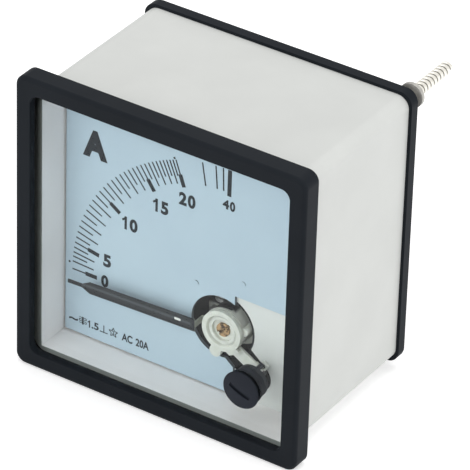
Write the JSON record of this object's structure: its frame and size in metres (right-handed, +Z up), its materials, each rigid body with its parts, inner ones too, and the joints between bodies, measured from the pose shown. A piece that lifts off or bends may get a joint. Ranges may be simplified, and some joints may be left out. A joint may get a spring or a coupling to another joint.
{
  "type": "analog panel meter",
  "caption": "Square panel-mount analog current meter with off-centre pointer, printed scale behind a flat window, front zero screw and rear studs.",
  "frame": {"origin": "centre of the front frame, on the plane where its rear face sits against the panel", "axes": "+X right seen from the front, +Y from the front into the panel, +Z up"},
  "size_m": [0.072, 0.0634, 0.072],
  "materials": {
    "black_frame": "satin moulded black plastic",
    "clear_pane": "clear flat pane",
    "white_case": "satin moulded white plastic",
    "black_base": "moulded black plastic",
    "dial": "matt enamelled sheet",
    "dial_pin": "painted over with the dial",
    "black_moulding": "moulded black plastic",
    "steel_screw": "zinc plated",
    "ivory_moulding": "moulded ivory plastic",
    "ivory_ring": "moulded ivory plastic",
    "brass_turned": "turned",
    "black_screw": "satin moulded black plastic",
    "pointer_sheet": "matt dark paint",
    "steel_pin": "ground",
    "bronze_spring": "bright strip",
    "soft_iron": "plain sheet",
    "vane_sheet": "bright sheet",
    "copper_wire": "enamelled copper wire",
    "copper_bar": "plain copper",
    "spring_steel": "dark plated",
    "nickel_plate": "nickel plated"
  },
  "bodies": {
    "case": {"housing": "white_case", "bezel": "black_frame", "window": "clear_pane", "rear_cover": "black_base", "dial_plate": "dial", "dial_rivets": "dial_pin", "movement_frame": "black_moulding", "frame_screws": "steel_screw", "front_bridge": "ivory_moulding", "bridge_screws": "steel_screw", "front_jewel_screw": "brass_turned", "bobbin": "black_moulding", "coil_winding": "copper_wire", "fixed_iron": "soft_iron", "damping_chamber": "black_moulding", "chamber_screws": "steel_screw", "rear_jewel_screw": "brass_turned", "bus_straps": "copper_bar", "terminal_studs": "brass_turned", "terminal_washers": "nickel_plate", "terminal_spring_washers": "spring_steel", "terminal_nuts": "brass_turned", "mounting_studs": "nickel_plate", "mounting_washers": "nickel_plate", "cover_screws": "steel_screw"},
    "rotor": {"spindle": "steel_pin", "pointer": "pointer_sheet", "pointer_collet": "brass_turned", "moving_iron": "soft_iron", "damping_vane": "vane_sheet"},
    "zero_ring": {"zero_arm": "ivory_ring", "hairspring": "bronze_spring"},
    "zero_screw_body": {"zero_screw": "black_screw"}
  },
  "joints": [
    {"name": "pointer_swing", "type": "hinge", "parent": "case", "child": "rotor", "pos_m": [0.0104, 0.02, -0.0155], "axis": [0, 1, 0], "range_deg": [-1, 94], "stiffness_Nm_per_rad": 0.000012, "deforming": ["hairspring"]},
    {"name": "zero_screw_turn", "type": "hinge", "parent": "case", "child": "zero_screw_body", "pos_m": [0.021, 0, -0.0216], "axis": [0, 1, 0], "range_deg": [-30, 30]},
    {"name": "zero_arm_swing", "type": "hinge", "parent": "case", "child": "zero_ring", "pos_m": [0.0104, 0.0072, -0.0155], "axis": [0, 1, 0], "range_deg": [-3.4, 3.4]}
  ],
  "couplings": [
    {"joint": "zero_arm_swing", "follows": "zero_screw_turn", "ratio": -0.105}
  ]
}
